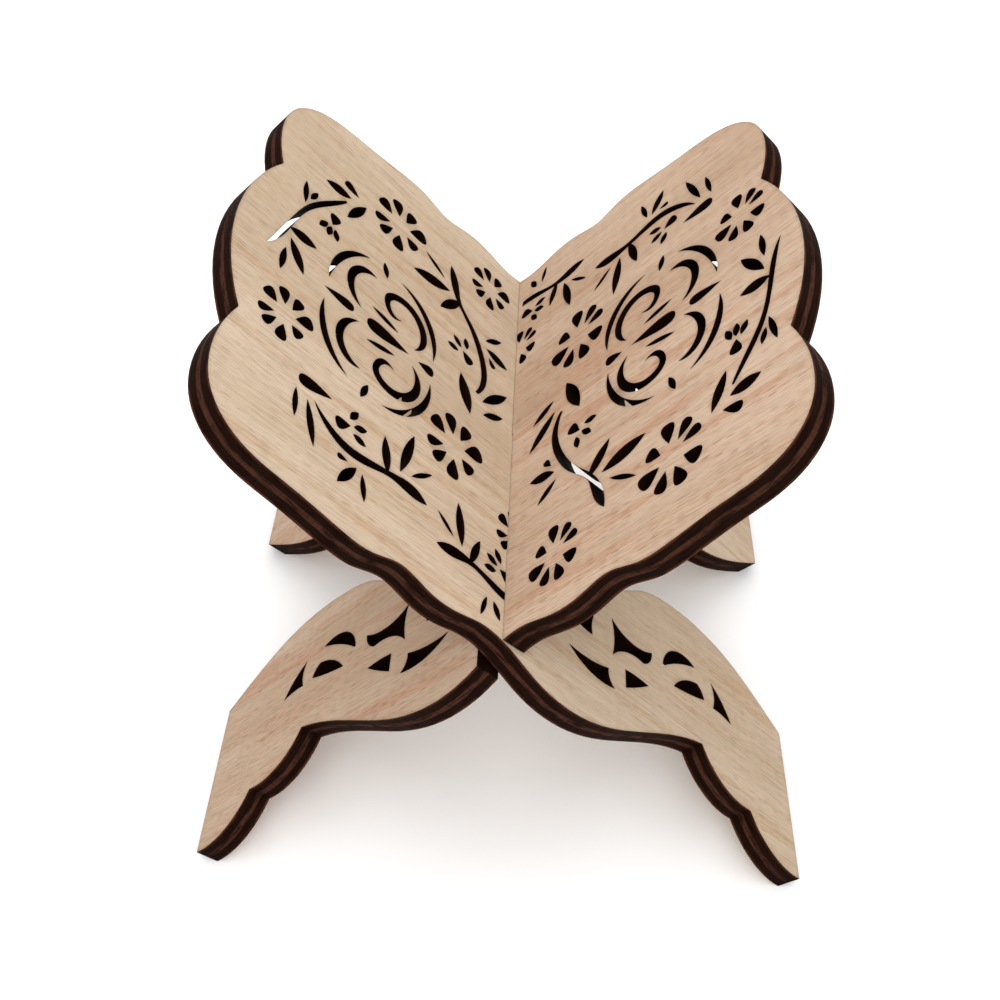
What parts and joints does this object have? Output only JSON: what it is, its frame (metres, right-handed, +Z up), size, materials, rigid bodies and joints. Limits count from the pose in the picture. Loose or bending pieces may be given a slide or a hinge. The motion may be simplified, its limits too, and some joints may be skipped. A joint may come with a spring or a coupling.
{
  "type": "slotted book stand",
  "caption": "X-shaped wooden book stand: two fretted plywood boards with scalloped edges, slotted across each other into a cradle on splayed feet.",
  "frame": {"origin": "on the ground, under the middle of the line where the two boards cross", "axes": "+X to the reader's right, +Y along the crossing line and away from the reader, +Z up"},
  "size_m": [0.1448, 0.1402, 0.1392],
  "materials": {
    "left_face_veneer": "bare sanded veneer, laser-charred at the cuts",
    "right_face_veneer": "bare sanded veneer, slightly pinker, laser-charred at the cuts",
    "core_veneer": "charred brown where it shows at the edges"
  },
  "bodies": {
    "left_board": {"left_board_upper_face_ply": "left_face_veneer", "left_board_core_ply": "core_veneer", "left_board_lower_face_ply": "left_face_veneer"},
    "right_board": {"right_board_upper_face_ply": "right_face_veneer", "right_board_core_ply": "core_veneer", "right_board_lower_face_ply": "right_face_veneer"}
  },
  "joints": [
    {"name": "board_slide", "type": "slide", "parent": "left_board", "child": "right_board", "axis": [0, 1, 0], "range_m": [0, 0.061]}
  ]
}
